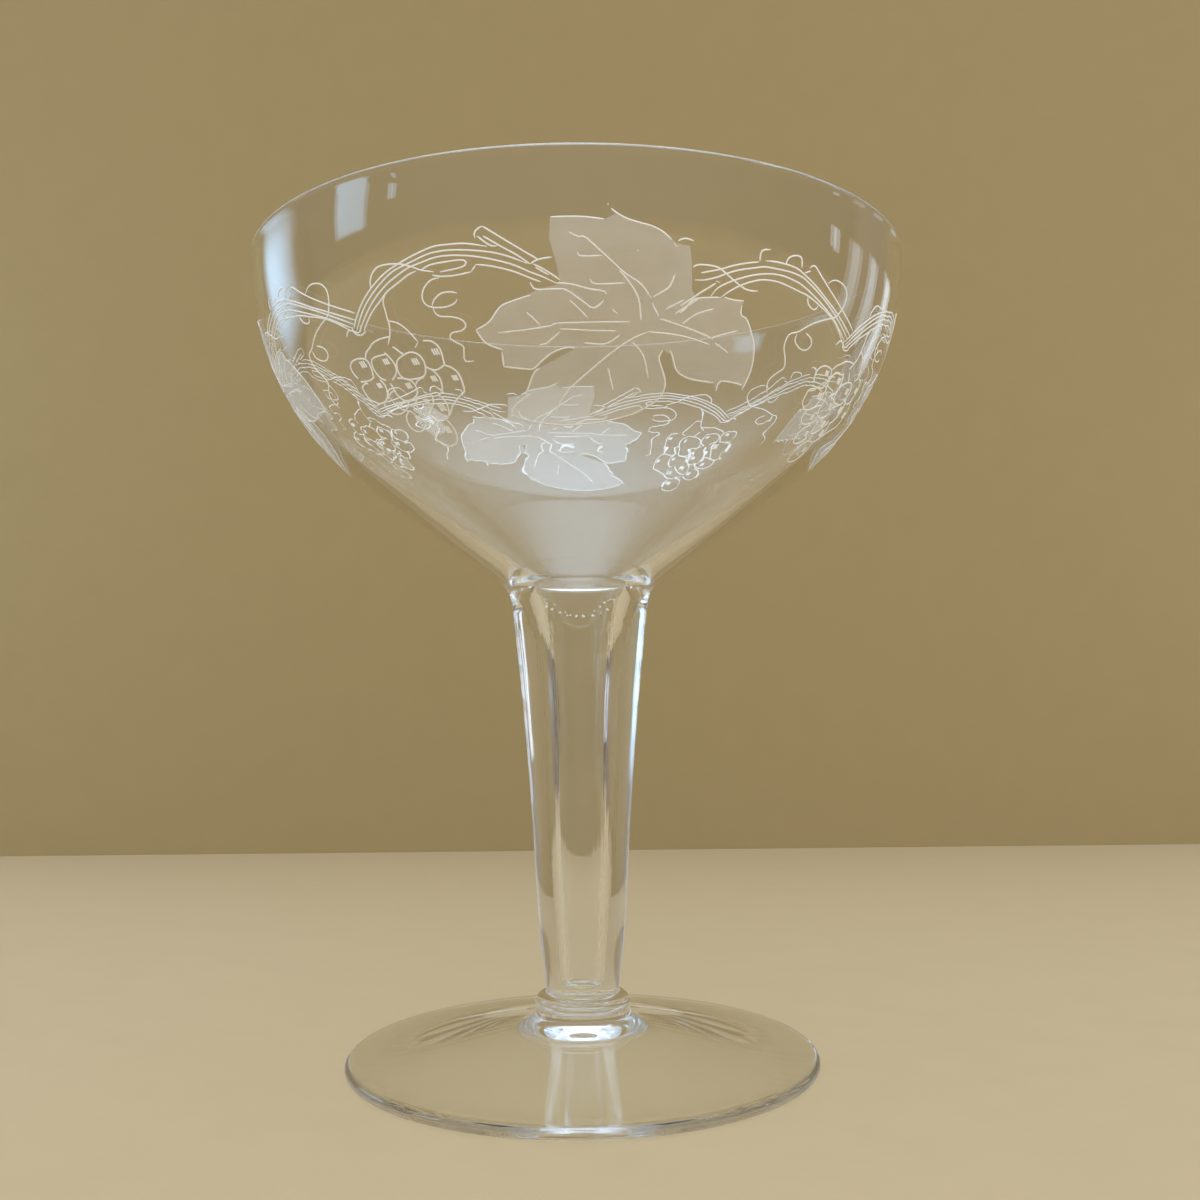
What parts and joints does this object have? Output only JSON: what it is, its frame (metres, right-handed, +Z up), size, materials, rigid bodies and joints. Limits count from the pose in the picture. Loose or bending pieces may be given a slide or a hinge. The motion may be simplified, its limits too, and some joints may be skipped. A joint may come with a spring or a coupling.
{
  "type": "hollow-stem coupe glass",
  "caption": "Wide-bowled stemmed drinking glass for sparkling wine, with a tapered hollow stem that opens into the bowl, a small knop and a thin round foot.",
  "frame": {"origin": "centre of the foot on the plane that it rests on", "axes": "+Z up along the glass's axis of symmetry; the middle of one engraved vine leaf lies a little to the +X side of -Y"},
  "size_m": [0.102, 0.102, 0.124],
  "materials": {
    "bowl_glass": "clear blown glass, fire-polished",
    "stem_glass": "clear drawn glass with faint lengthwise draw lines",
    "knop_glass": "clear solid glass, fire-polished, with a faint slanting lap mark",
    "foot_glass": "clear spun glass with a polished round edge",
    "engraving": "wheel-cut and frosted, matt white",
    "seed_bubbles": "tiny air bubbles caught in the weld"
  },
  "bodies": {
    "root": {"bowl": "bowl_glass", "stem": "stem_glass", "knop": "knop_glass", "foot": "foot_glass"}
  },
  "joints": []
}
